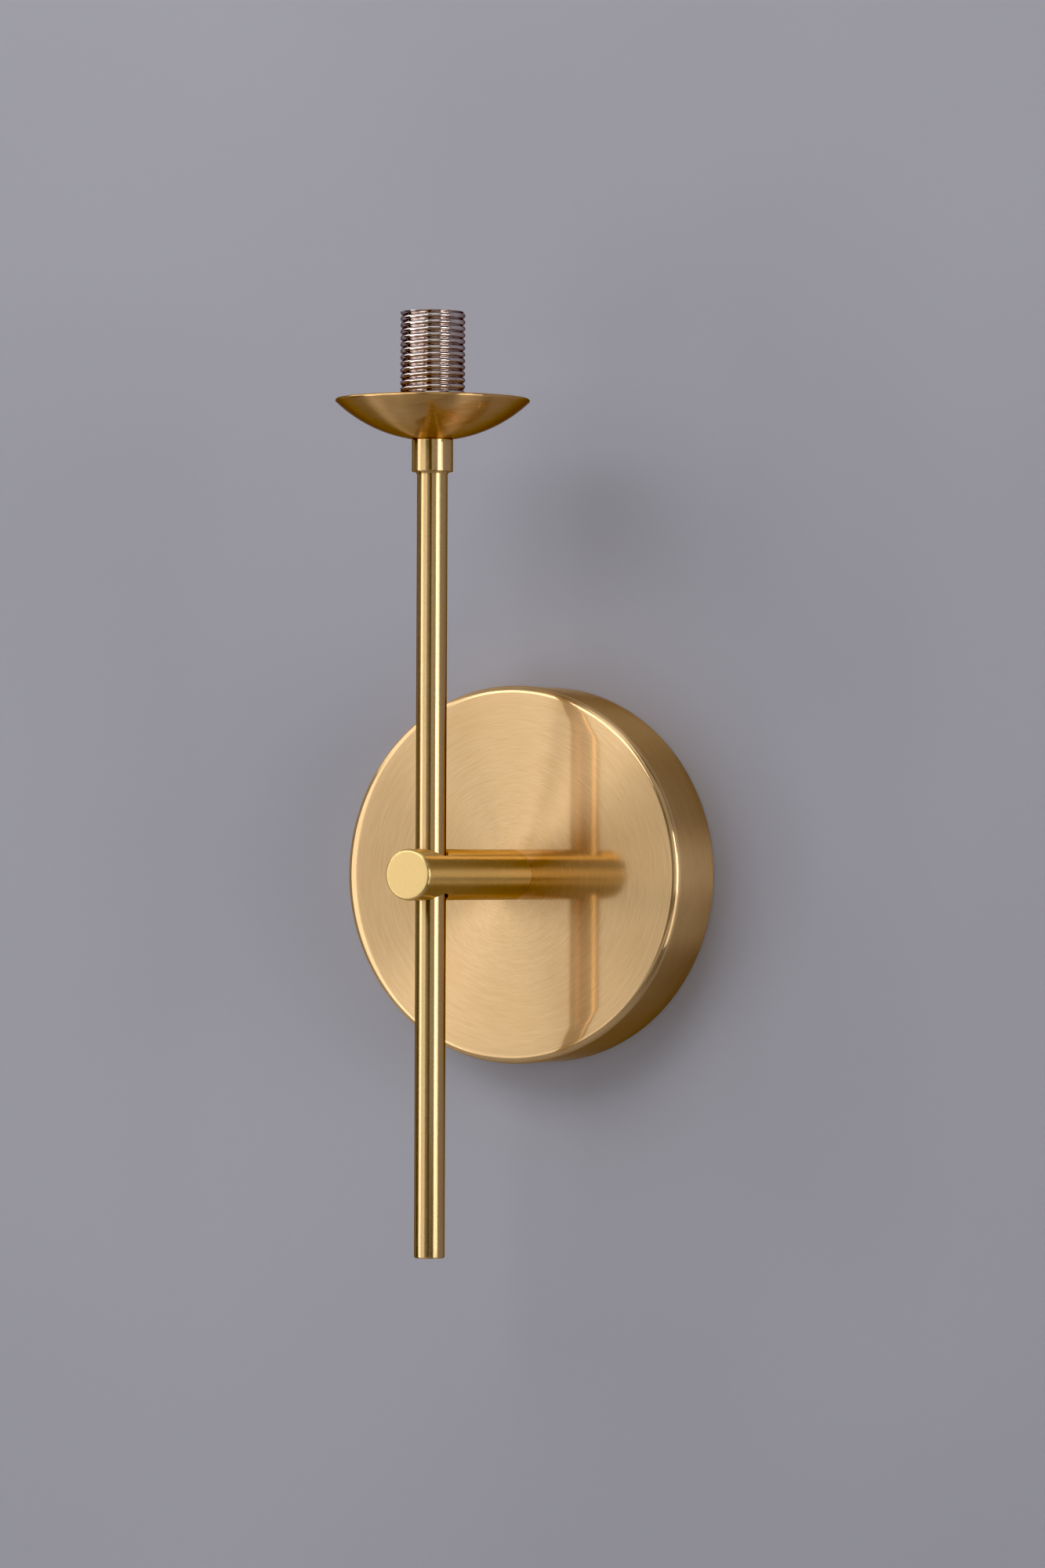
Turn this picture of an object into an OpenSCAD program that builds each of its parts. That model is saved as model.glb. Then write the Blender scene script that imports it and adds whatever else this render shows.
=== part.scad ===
// Electric candle-style wall light: round canopy, horizontal arm, slim upright stem,
// shallow cup and a threaded lampholder sleeve. Millimetres, +Z up, the wall is y = 0,
// the light stands out towards -Y, and the origin is the centre of the canopy's back.

/* [Canopy] */
// Diameter of the round canopy
canopy_d = 120; // [110:1:130]
// How far the canopy stands out from the wall
canopy_depth = 25; // [24:0.5:30]
// Thickness of the spun sheet
canopy_sheet = 1.2; // [0.8:0.1:1.5]
// Outer radius of the canopy's front edge
canopy_edge_r = 2.4; // [2:0.1:4]

/* [Wall bracket] */
// Thickness of the bracket strip
bracket_t = 1.5; // [1.2:0.1:2]
// Width of the bracket strip
bracket_w = 20; // [18:1:24]
// Distance between the two wall screws
wall_screw_spacing = 60; // [56:1:70]
// Width of the wall screw slots
wall_slot_w = 4.5; // [4:0.1:5.5]
// End-to-end length of the wall screw slots
wall_slot_l = 12; // [8:1:14]
// Diameter of the opening in the cable grommet
cable_hole_d = 9; // [8:0.5:10]

/* [Arm] */
// Diameter of the arm
arm_d = 16; // [15:0.5:20]
// Length of the arm in front of the canopy
arm_reach = 65.3; // [60:0.1:90]
// Rounding of the arm's front edge
arm_edge_r = 1; // [0.5:0.1:1.5]

/* [Stem] */
// Outer diameter of the stem tubes
stem_d = 9.5; // [9.5:0.1:10.5]
// Distance from the canopy's face to the stem's axis
stem_reach = 50.6; // [40:0.1:52]
// Height of the stem's lower end, below the arm's axis
stem_drop = 118.7; // [60:0.1:160]
// Height of the collar's lower end, above the arm's axis
collar_low = 124.9; // [80:0.1:160]
// Diameter of the collar under the cup
collar_d = 12.8; // [12.4:0.1:14]
// Height of the collar
collar_h = 10.2; // [9:0.1:12]

/* [Cup] */
// Diameter of the cup's rim
cup_d = 60.4; // [50:0.1:66]
// Radius of the cup's outer curve
cup_curve_r = 43.7; // [40:0.1:60]
// Thickness of the cup's sheet
cup_sheet = 1.1; // [0.8:0.1:1.4]

/* [Lampholder] */
// Diameter over the crests of the sleeve's thread
sleeve_d = 20.2; // [19.6:0.1:21]
// Depth of the sleeve's rounded thread
thread_depth = 0.65; // [0.4:0.05:0.8]
// Pitch of the sleeve's thread
thread_pitch = 2; // [1.5:0.1:2.5]
// Height of the sleeve's open top, above the arm's axis
sleeve_top = 174.5; // [125:0.1:210]
// Distance between the lamp's two pins
lamp_pin_spacing = 9; // [9:9]

/* [Hidden] */

$fn = 64;
cut = 0.1;          // how far a cutting tool runs past the face it opens

// Canopy
canopy_r = canopy_d / 2;
canopy_inner_r = canopy_r - canopy_sheet;
crown_angle = 6;    // the face turns this far down before the edge radius takes over
crown_r = 48;       // large radius of that gentle turn

// Wall bracket
ear_gap = 1.2;                                  // from the bracket's ears to the canopy
ear_z = canopy_inner_r - ear_gap;               // outer face of an ear
ear_depth = 16;
bend_r = 1.5;                                   // inner radius of the strip's bends
canopy_screw_y = 10;
canopy_screw_d = 4;
canopy_screw_l = 6;
canopy_screw_inset = 0.3;                       // outer end below the canopy's surface
grommet_seat_d = 13;
earth_screw_z = -15;
earth_screw_d = 4;
cup_washer_d = 9;
cup_washer_h = 1.6;

// Terminal block, on the bracket's side tab
block_x = -29;
block_l = 18;
pole_pitch = 9;
pole_y = 7;
insert_d = 5;
insert_bore_d = 3;
insert_l = 16;
terminal_screw_gap = 9;
terminal_screw_d = 2.6;
pole_d = 8.4;                                   // moulded barrel round each insert
tower_d = 6.4;                                  // screw tower on the barrel
tower_bore_d = 4.4;
tower_top = 14.5;
block_screw_d = 3;

// Arm and its threaded parts, M10 x 1 and M8 x 1 lamp threads
arm_end = canopy_depth + arm_reach;
stem_y = canopy_depth + stem_reach;
m10 = 10;
m10_bore = 7.6;
m8 = 8;
m8_bore = 6;
arm_bore_d = 8;
arm_thread_l = 12;
washer_d = 28;
washer_t = 1.5;
tag_t = 0.8;
tag_angle = 225;                                // the tag's tail points down and to the left
tag_barrel_y = 20.6;
toothed_t = 0.8;
nut_m10_af = 14;
nut_m10_h = 3;
nipple_inner_end = 16;                          // distance of the nipple's end from the wall
seat_r = stem_d / 2 + 0.65;                     // machined seat for each stem tube
seat_z = 5.9;
cross_nipple_l = 30;

// Stem, collar and cup
stem_bore_d = m8;
stem_top = collar_low + 3;
stem_end_chamfer = 0.4;
cup_seat_z = collar_low + collar_h;
cup_seat_r = collar_d / 2;
cup_centre_z = cup_seat_z + sqrt(cup_curve_r * cup_curve_r - cup_seat_r * cup_seat_r);
cup_mid_r = cup_curve_r - cup_sheet / 2;
cup_rim_angle = asin((cup_d / 2 - cup_sheet / 2) / cup_mid_r);
cup_floor_z = cup_seat_z + cup_sheet;

// Lampholder stack, from the cup's floor up
seat_washer_t = 1;
sleeve_low = cup_floor_z + seat_washer_t;
sleeve_floor_t = 1;
sleeve_bore_d = 17.3;
sleeve_plain_h = 3;
bridge_t = 1;
bridge_low = sleeve_low + sleeve_floor_t;
bridge_w = 6;
bridge_y = 7.9;                                 // outer face of the bridge's legs
bridge_h = 12;
holder_nut_af = 12;
holder_nut_h = 3;
cup_nipple_low = collar_low - 9;
cup_nipple_top = bridge_low + bridge_t + holder_nut_h + 1.2;
ceramic_d = 16.6;
ceramic_low = bridge_low + bridge_h;
ceramic_h = 21;
ceramic_top = ceramic_low + ceramic_h;
recess_l = 14.4;
recess_w = 5.4;
recess_depth = 8;
well_l = 4.2;
well_w = 4.8;
well_floor = ceramic_low + 1.2;
lead_hole_d = 2.6;
holder_screw_y = 5.6;
holder_screw_d = 2.5;
holder_head_d = 4;
holder_head_h = 1.8;
holder_head_seat = 3;
leaf_t = 0.4;
leaf_w = 3.6;

// Leads: hand-chosen routes, as [x, y, z]
wire_d = 2;
lead_x = 1.2;
turn_r = 6;                                     // bend of the leads from the arm into the stem
live_start = [
    [-24, -7, 9], [-20, -7, 9], [-16, -6.2, 8.8], [-12, -5.4, 7.6], [-8, -5, 6],
    [-5, -5.6, 4.2], [-2.8, -7.6, 2.2], [-1.6, -10.5, 0.7], [-1.2, -14, 0]
];
neutral_start = [
    [-24, -7, -9], [-20, -7, -9], [-16, -6.2, -9], [-11, -5.4, -8.4], [-6, -5, -6.8],
    [-2, -5.6, -4.6], [0.4, -7.6, -2.4], [1.2, -10.5, -0.8], [1.2, -14, 0]
];
earth_route = [
    [-24, -7, 0], [-20.5, -7, 0], [-18, -7.6, -1], [-16.4, -9.4, -3.4], [-16, -12, -6.8],
    [-16.4, -15, -10.4], [-16.6, -18, -13.2], [-15.6, -20, -14.4], [-13.8, -20.6, -13.4],
    [-12, -20.6, -11.6], [-9.6, -20.6, -9.2]
];

// ---------- helpers ----------

// Points along an arc, angles in degrees
function arc(cx, cy, r, from, to, n) = [
    for (i = [0:n]) let (a = from + (to - from) * i / n) [cx + r * cos(a), cy + r * sin(a)]
];

function unit(v) = v / norm(v);

// Direction of a route at point i
function heading(p, i) = unit(p[min(i + 1, len(p) - 1)] - p[max(i - 1, 0)]);

// Side directions carried along a route without twisting
function side_dirs(p, i = 0, dirs = []) =
    i == len(p) ? dirs
    : let (
        t = heading(p, i),
        last = i == 0 ? (abs(t[2]) < 0.9 ? [0, 0, 1] : [1, 0, 0]) : dirs[i - 1],
        d = unit(last - (last * t) * t)
    ) side_dirs(p, i + 1, concat(dirs, [d]));

// Puts a shape that is drawn along +Z onto the arm's axis, starting at this distance from the wall
module on_arm(distance) {
    translate([0, -distance, 0]) rotate([90, 0, 0]) children();
}

// Puts a shape onto the stem's axis, at this height
module on_stem(z) {
    translate([0, -stem_y, z]) children();
}

module tube(d, bore, h) {
    difference() {
        cylinder(d = d, h = h);
        translate([0, 0, -cut]) cylinder(d = bore, h = h + 2 * cut);
    }
}

// Tube with small chamfers at the ends, as on threaded lamp nipples
module nipple(d, bore, h, chamfer = 0.5) {
    rotate_extrude() polygon([
        [bore / 2, 0], [d / 2 - chamfer, 0], [d / 2, chamfer],
        [d / 2, h - chamfer], [d / 2 - chamfer, h], [bore / 2, h]
    ]);
}

module hex_nut(af, bore, h) {
    chamfer_w = 1.4;
    chamfer_h = 0.8;
    difference() {
        intersection() {
            cylinder(d = af / cos(30), h = h, $fn = 6);
            // turned chamfer on both faces
            rotate_extrude() polygon([
                [0, 0], [af / 2, 0], [af / 2 + chamfer_w, chamfer_h],
                [af / 2 + chamfer_w, h - chamfer_h], [af / 2, h], [0, h]
            ]);
        }
        translate([0, 0, -cut]) cylinder(d = bore, h = h + 2 * cut);
    }
}

// Screw with a round head above z = 0 and its shank below
module slotted_screw(d, l, head_d, head_h, slot_w) {
    edge_r = 0.5;
    difference() {
        union() {
            rotate_extrude() polygon(concat(
                [[0, 0], [head_d / 2, 0]],
                arc(head_d / 2 - edge_r, head_h - edge_r, edge_r, 0, 90, 4),
                [[0, head_h]]
            ));
            translate([0, 0, -l]) cylinder(d = d, h = l);
        }
        translate([-head_d, -slot_w / 2, head_h * 0.5]) cube([2 * head_d, slot_w, head_h]);
    }
}

// Rod swept along a route
module swept_wire(p, d, sides = 8) {
    dirs = side_dirs(p);
    points = [
        for (i = [0:len(p) - 1]) let (t = heading(p, i), u = dirs[i], v = cross(t, u))
            for (k = [0:sides - 1]) let (a = 360 * k / sides)
                p[i] + d / 2 * (cos(a) * u + sin(a) * v)
    ];
    walls = [
        for (i = [0:len(p) - 2]) for (k = [0:sides - 1])
            let (k2 = (k + 1) % sides)
                [i * sides + k, (i + 1) * sides + k, (i + 1) * sides + k2, i * sides + k2]
    ];
    first = [for (k = [0:sides - 1]) k];
    last = [for (k = [sides - 1:-1:0]) (len(p) - 1) * sides + k];
    polyhedron(points, concat(walls, [first, last]));
}

// Hole through the bracket's strip, at x and z
module strip_hole(x, z, d) {
    translate([x, cut, z]) rotate([90, 0, 0]) cylinder(d = d, h = bracket_t + 2 * cut);
}

// Upright slot with round ends through the bracket's strip
module strip_slot(z, w, l) {
    for (side = [-1, 1]) strip_hole(0, z + side * (l - w) / 2, w);
    translate([-w / 2, -bracket_t - cut, z - (l - w) / 2]) cube([w, bracket_t + 2 * cut, l - w]);
}

// ---------- wall side ----------

module wall_bracket() {
    tab_l = block_l / 2 + 2 - block_x;
    // one half of the bent strip, seen along X: wall side at the left, ear at the top
    half = concat(
        [[0, 0]],
        [[0, ear_z - bend_r - bracket_t]],
        arc(bend_r + bracket_t, ear_z - bend_r - bracket_t, bend_r + bracket_t, 180, 90, 6),
        [[ear_depth, ear_z], [ear_depth, ear_z - bracket_t]],
        arc(bend_r + bracket_t, ear_z - bend_r - bracket_t, bend_r, 90, 180, 6),
        [[bracket_t, 0]]
    );
    color("lightgrey") difference() {
        union() {
            for (flip = [0, 1]) mirror([0, 0, flip])
                rotate([90, 0, -90]) linear_extrude(bracket_w, center = true) polygon(half);
            // side tab for the terminal block
            translate([-tab_l, -bracket_t, -bracket_w / 2]) cube([tab_l, bracket_t, bracket_w]);
        }
        for (flip = [0, 1]) mirror([0, 0, flip]) {
            strip_slot(wall_screw_spacing / 2, wall_slot_w, wall_slot_l);
            strip_hole(block_x, pole_pitch / 2, block_screw_d);
            // tapped hole in the ear for a canopy screw
            translate([0, -canopy_screw_y, ear_z - bracket_t - cut])
                cylinder(d = canopy_screw_d, h = bracket_t + 2 * cut);
        }
        strip_hole(0, 0, grommet_seat_d);
        strip_hole(0, earth_screw_z, earth_screw_d);
    }
}

// Rubber ring with a chamfered lip in front of the strip
module cable_grommet() {
    bore = cable_hole_d / 2;
    seat = grommet_seat_d / 2;
    lip_r = seat + 1.6;
    lip_front = bracket_t + 1;
    chamfer = 0.6;
    color([0.12, 0.12, 0.12]) on_arm(0) rotate_extrude() polygon([
        [bore, 0], [seat, 0], [seat, bracket_t], [lip_r, bracket_t],
        [lip_r, lip_front - chamfer], [lip_r - chamfer, lip_front], [bore, lip_front]
    ]);
}

module earth_screw() {
    color("gold") translate([0, -bracket_t - cup_washer_h, earth_screw_z]) rotate([90, 0, 0])
        slotted_screw(earth_screw_d, bracket_t + cup_washer_h, 7.6, 2.4, 1);
}

// Dished washer that keeps the strands under the screw's head
module earth_cup_washer() {
    floor_t = 0.8;
    wall_t = 0.6;
    color("silver") translate([0, -bracket_t, earth_screw_z]) rotate([90, 0, 0]) difference() {
        cylinder(d = cup_washer_d, h = cup_washer_h);
        translate([0, 0, floor_t]) cylinder(d = cup_washer_d - 2 * wall_t, h = cup_washer_h);
        translate([0, 0, -cut]) cylinder(d = earth_screw_d, h = cup_washer_h);
    }
}

module terminal_block() {
    color("ivory") difference() {
        union() {
            for (pole = [-1:1]) translate([block_x, 0, pole * pole_pitch]) {
                translate([-block_l / 2, -pole_y, 0]) rotate([0, 90, 0]) cylinder(d = pole_d, h = block_l);
                translate([-block_l / 2, -pole_y, -pole_d / 2]) cube([block_l, pole_y - bracket_t, pole_d]);
                for (side = [-1, 1]) translate([side * terminal_screw_gap / 2, -pole_y, 0])
                    rotate([90, 0, 0]) cylinder(d = tower_d, h = tower_top - pole_y);
            }
            // thin webs between the poles
            translate([block_x - block_l / 2, -pole_y, -pole_pitch])
                cube([block_l, pole_y - bracket_t, 2 * pole_pitch]);
        }
        for (pole = [-1:1]) translate([block_x, -pole_y, pole * pole_pitch]) {
            translate([-block_l / 2 - cut, 0, 0])
                rotate([0, 90, 0]) cylinder(d = insert_d, h = block_l + 2 * cut);
            for (side = [-1, 1]) translate([side * terminal_screw_gap / 2, 0, 0])
                rotate([90, 0, 0]) cylinder(d = tower_bore_d, h = tower_top);
        }
        for (side = [-1, 1]) translate([block_x, 0, side * pole_pitch / 2])
            rotate([90, 0, 0]) cylinder(d = block_screw_d + 0.2, h = tower_top);
    }
}

module terminal_inserts() {
    color("goldenrod") for (pole = [-1:1]) translate([block_x, -pole_y, pole * pole_pitch])
        difference() {
            translate([-insert_l / 2, 0, 0]) rotate([0, 90, 0]) tube(insert_d, insert_bore_d, insert_l);
            for (side = [-1, 1]) translate([side * terminal_screw_gap / 2, 0, 0])
                rotate([90, 0, 0]) cylinder(d = terminal_screw_d, h = insert_d);
        }
}

module terminal_screws() {
    head_seat = pole_y + 3.2;
    shank = 2.2;
    color("silver") for (pole = [-1:1], side = [-1, 1])
        translate([block_x + side * terminal_screw_gap / 2, -head_seat, pole * pole_pitch])
            rotate([90, 0, 0]) slotted_screw(terminal_screw_d, shank, 3.8, 2, 0.7);
}

module block_screws() {
    color("silver") for (side = [-1, 1])
        translate([block_x, -pole_y, side * pole_pitch / 2]) rotate([90, 0, 0])
            slotted_screw(block_screw_d, pole_y, 5, 1.8, 0.8);
}

// ---------- canopy and arm ----------

// Half section of the canopy's outside: radius against distance from the wall
function canopy_outline(r, h, edge, crown) = concat(
    [[0, 0], [r, 0]],
    arc(r - edge, h - crown + (crown - edge) * cos(crown_angle), edge, 0, 90 - crown_angle, 8),
    arc(r - edge - (crown - edge) * sin(crown_angle), h - crown, crown, 90 - crown_angle, 90, 4),
    [[0, h]]
);

module canopy() {
    color([0.82, 0.66, 0.42]) difference() {
        on_arm(0) rotate_extrude($fn = 128)
            polygon(canopy_outline(canopy_r, canopy_depth, canopy_edge_r, crown_r));
        on_arm(-cut) rotate_extrude($fn = 128) polygon(canopy_outline(
            canopy_inner_r, canopy_depth - canopy_sheet + cut,
            canopy_edge_r - canopy_sheet, crown_r - canopy_sheet
        ));
        on_arm(canopy_depth / 2) cylinder(d = m10 + 0.2, h = canopy_depth);
        // clearance holes for the two screws, top and bottom
        translate([0, -canopy_screw_y, -canopy_d]) cylinder(d = canopy_screw_d + 0.4, h = 2 * canopy_d);
    }
}

module canopy_screws() {
    socket_af = 2;
    outer_end = canopy_r - canopy_screw_inset;
    color("silver") for (flip = [0, 1]) mirror([0, 0, flip])
        translate([0, -canopy_screw_y, outer_end - canopy_screw_l]) difference() {
            nipple(canopy_screw_d, 0, canopy_screw_l, 0.4);
            translate([0, 0, canopy_screw_l - 2]) cylinder(d = socket_af / cos(30), h = 3, $fn = 6);
        }
}

module arm() {
    color([0.8, 0.62, 0.33]) difference() {
        on_arm(canopy_depth) rotate_extrude($fn = 96) polygon(concat(
            [[0, 0], [arm_d / 2, 0]],
            arc(arm_d / 2 - arm_edge_r, arm_reach - arm_edge_r, arm_edge_r, 0, 90, 6),
            [[0, arm_reach]]
        ));
        on_arm(canopy_depth - cut) cylinder(d = m10, h = arm_thread_l + cut);
        on_arm(canopy_depth) cylinder(d = arm_bore_d, h = stem_reach + 2);
        on_stem(-arm_d) cylinder(d = m8, h = 2 * arm_d);
        // machined seats for the two stem tubes
        on_stem(seat_z) cylinder(r = seat_r, h = arm_d);
        on_stem(-seat_z - arm_d) cylinder(r = seat_r, h = arm_d);
    }
}

module arm_nipple() {
    color("silver") on_arm(nipple_inner_end)
        nipple(m10, m10_bore, canopy_depth - nipple_inner_end + arm_thread_l - 0.5);
}

module backing_washer() {
    color("silver") on_arm(canopy_depth - canopy_sheet - washer_t) tube(washer_d, m10 + 0.2, washer_t);
}

// Ring terminal on the nipple, with a crimp barrel for the earth lead at the end of its tail
module earth_tag() {
    ring_d = 16;
    tail_l = 13;
    tail_w = 5;
    barrel_d = 3;
    barrel_l = 4;
    color("silver") {
        on_arm(canopy_depth - canopy_sheet - washer_t - tag_t) difference() {
            union() {
                cylinder(d = ring_d, h = tag_t);
                rotate(tag_angle) translate([0, -tail_w / 2, 0]) cube([tail_l, tail_w, tag_t]);
            }
            translate([0, 0, -cut]) cylinder(d = m10 + 0.2, h = tag_t + 2 * cut);
        }
        translate([0, -tag_barrel_y, 0]) rotate([0, tag_angle, 0]) translate([0, 0, tail_l - cut])
            tube(barrel_d, wire_d, barrel_l);
    }
}

module toothed_washer() {
    teeth = 10;
    rim_r = 7.8;
    notch_w = 1.2;
    notch_depth = 1.2;
    color("silver") on_arm(canopy_depth - canopy_sheet - washer_t - tag_t - toothed_t) difference() {
        cylinder(r = rim_r, h = toothed_t);
        translate([0, 0, -cut]) cylinder(d = m10 + 0.2, h = toothed_t + 2 * cut);
        for (i = [0:teeth - 1]) rotate(360 * i / teeth)
            translate([rim_r - notch_depth, -notch_w / 2, -cut]) cube([rim_r, notch_w, toothed_t + 2 * cut]);
    }
}

module nipple_nut() {
    color("silver") on_arm(canopy_depth - canopy_sheet - washer_t - tag_t - toothed_t - nut_m10_h)
        hex_nut(nut_m10_af, m10, nut_m10_h);
}

// Smooth bush that keeps the leads off the nipple's end
module cable_bush() {
    bore = 2.9;
    flange_t = 1.2;
    flange_edge_r = 0.6;
    spigot_end = 5;
    color("white") on_arm(nipple_inner_end - flange_t) rotate_extrude() polygon(concat(
        [[bore, 0]],
        arc(m10 / 2 - 0.2 - flange_edge_r, flange_edge_r, flange_edge_r, -90, 0, 4),
        [[m10 / 2 - 0.2, flange_t], [m10_bore / 2, flange_t], [m10_bore / 2, spigot_end], [bore, spigot_end]]
    ));
}

module cross_nipple() {
    window_d = 6.4;
    color("silver") difference() {
        on_stem(-cross_nipple_l / 2) nipple(m8, m8_bore, cross_nipple_l);
        // window for the leads, facing the arm's bore
        on_stem(0.6) rotate([-90, 0, 0]) cylinder(d = window_d, h = m8);
    }
}

// ---------- stem ----------

module stem_tube(h, chamfer_low, chamfer_high) {
    r = stem_d / 2;
    bore = stem_bore_d / 2;
    rotate_extrude() polygon([
        [bore, 0], [r - chamfer_low, 0], [r, chamfer_low],
        [r, h - chamfer_high], [r - chamfer_high, h], [bore, h]
    ]);
}

module upper_stem() {
    color([0.8, 0.62, 0.33]) on_stem(seat_z) stem_tube(stem_top - seat_z, 0, 0.2);
}

module lower_stem() {
    color([0.8, 0.62, 0.33]) on_stem(-stem_drop) stem_tube(stem_drop - seat_z, stem_end_chamfer, 0);
}

// Pressed disc that closes the lower tube
module stem_plug() {
    r = stem_bore_d / 2;
    plug_h = 8;
    color([0.8, 0.62, 0.33]) on_stem(-stem_drop) rotate_extrude() polygon([
        [0, 0], [r - 0.2, 0], [r, 0.2], [r, plug_h - 0.5], [r - 0.5, plug_h], [0, plug_h]
    ]);
}

module collar() {
    r = collar_d / 2;
    neck_h = 0.6;
    color([0.8, 0.62, 0.33]) on_stem(collar_low) difference() {
        rotate_extrude() polygon([
            [0, -neck_h], [stem_d / 2 + 0.15, -neck_h], [stem_d / 2 + 0.5, 0],
            [r - 0.3, 0], [r, 0.3], [r, collar_h - 0.25], [r - 0.25, collar_h], [0, collar_h]
        ]);
        translate([0, 0, -neck_h - cut]) cylinder(d = stem_d, h = stem_top - collar_low + neck_h + cut);
        cylinder(d = m8, h = collar_h + cut);
    }
}

module cup_nipple() {
    color("silver") on_stem(cup_nipple_low) nipple(m8, m8_bore, cup_nipple_top - cup_nipple_low);
}

module cup() {
    // the curved sheet is the sector between two circles, with a flat seat in the middle
    outer = cup_curve_r;
    inner = cup_curve_r - cup_sheet;
    seat_angle = asin(cup_seat_r / outer);
    far = 2 * outer;
    color([0.72, 0.54, 0.25]) on_stem(0) difference() {
        rotate_extrude($fn = 96) {
            translate([0, cup_centre_z]) intersection() {
                difference() {
                    circle(outer);
                    circle(inner);
                }
                polygon([
                    [0, 0],
                    [far * sin(seat_angle), -far * cos(seat_angle)],
                    [far * sin(cup_rim_angle), -far * cos(cup_rim_angle)]
                ]);
            }
            translate([cup_mid_r * sin(cup_rim_angle), cup_centre_z - cup_mid_r * cos(cup_rim_angle)])
                circle(d = cup_sheet, $fn = 24);
            translate([0, cup_seat_z]) square([cup_seat_r, cup_sheet]);
        }
        cylinder(d = m8 + 0.2, h = sleeve_top);
    }
}

// ---------- lampholder ----------

module seat_washer() {
    color("silver") on_stem(cup_floor_z) tube(11.6, m8 + 0.2, seat_washer_t);
}

// Shell with a rounded thread, drawn as ridges one pitch apart
module threaded_sleeve() {
    root_r = sleeve_d / 2 - thread_depth;
    sleeve_h = sleeve_top - sleeve_low;
    floor_hole_r = m8 / 2 + 0.1;
    color([0.75, 0.73, 0.72]) on_stem(sleeve_low) difference() {
        rotate_extrude() {
            polygon([
                [floor_hole_r, 0], [root_r - 0.5, 0], [root_r, 0.5], [root_r, sleeve_h],
                [sleeve_bore_d / 2, sleeve_h], [sleeve_bore_d / 2, sleeve_floor_t],
                [floor_hole_r, sleeve_floor_t]
            ]);
            for (z = [sleeve_h - thread_depth:-thread_pitch:sleeve_plain_h + thread_depth])
                translate([root_r, z]) circle(thread_depth, $fn = 24);
        }
        translate([0, 0, sleeve_floor_t]) cylinder(d = sleeve_bore_d, h = sleeve_h);
    }
}

// Bent strip that carries the ceramic above the nut
module holder_bridge() {
    base_d = 13;
    foot_y = 3.4;                                   // inner end of the feet under the ceramic
    color("silver") on_stem(bridge_low) difference() {
        union() {
            translate([-bridge_w / 2, -bridge_y, 0]) cube([bridge_w, 2 * bridge_y, bridge_t]);
            cylinder(d = base_d, h = bridge_t);
            for (flip = [0, 1]) mirror([0, flip, 0]) {
                translate([-bridge_w / 2, bridge_y - bridge_t, 0]) cube([bridge_w, bridge_t, bridge_h]);
                translate([-bridge_w / 2, foot_y, bridge_h - bridge_t])
                    cube([bridge_w, bridge_y - foot_y, bridge_t]);
            }
        }
        translate([0, 0, -cut]) cylinder(d = m8 + 0.2, h = bridge_t + 2 * cut);
        for (side = [-1, 1]) translate([0, side * holder_screw_y, bridge_h - bridge_t - cut])
            cylinder(d = holder_screw_d, h = bridge_t + 2 * cut);
    }
}

module holder_nut() {
    color("silver") on_stem(bridge_low + bridge_t) hex_nut(holder_nut_af, m8, holder_nut_h);
}

// Smooth bush in the cup nipple's upper end
module top_bush() {
    bore = 2.4;
    spigot_h = 4;
    flange_r = m8 / 2 - 0.3;
    flange_t = 1;
    chamfer = 0.4;
    color("white") on_stem(cup_nipple_top) rotate_extrude() polygon([
        [bore, -spigot_h], [m8_bore / 2, -spigot_h], [m8_bore / 2, 0], [flange_r, 0],
        [flange_r, flange_t - chamfer], [flange_r - chamfer, flange_t], [bore, flange_t]
    ]);
}

module ceramic_holder() {
    color("whitesmoke") on_stem(0) difference() {
        translate([0, 0, ceramic_low]) rotate_extrude() polygon([
            [0, 0], [ceramic_d / 2, 0], [ceramic_d / 2, ceramic_h - 0.6],
            [ceramic_d / 2 - 0.6, ceramic_h], [0, ceramic_h]
        ]);
        // recess for the lamp's flat base
        translate([0, 0, ceramic_top - recess_depth]) {
            for (side = [-1, 1]) translate([side * (recess_l - recess_w) / 2, 0, 0])
                cylinder(d = recess_w, h = recess_depth + cut);
            translate([-(recess_l - recess_w) / 2, -recess_w / 2, 0])
                cube([recess_l - recess_w, recess_w, recess_depth + cut]);
        }
        for (side = [-1, 1]) {
            translate([side * lamp_pin_spacing / 2, 0, 0]) {
                translate([-well_l / 2, -well_w / 2, well_floor]) cube([well_l, well_w, ceramic_h]);
                translate([0, 0, ceramic_low - cut]) cylinder(d = lead_hole_d, h = 2);
            }
            translate([0, side * holder_screw_y, ceramic_low - cut]) {
                cylinder(d = holder_screw_d + 0.3, h = ceramic_h + 2 * cut);
                translate([0, 0, ceramic_h - holder_head_seat + cut])
                    cylinder(d = holder_head_d + 0.3, h = holder_head_seat + cut);
            }
        }
    }
}

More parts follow.
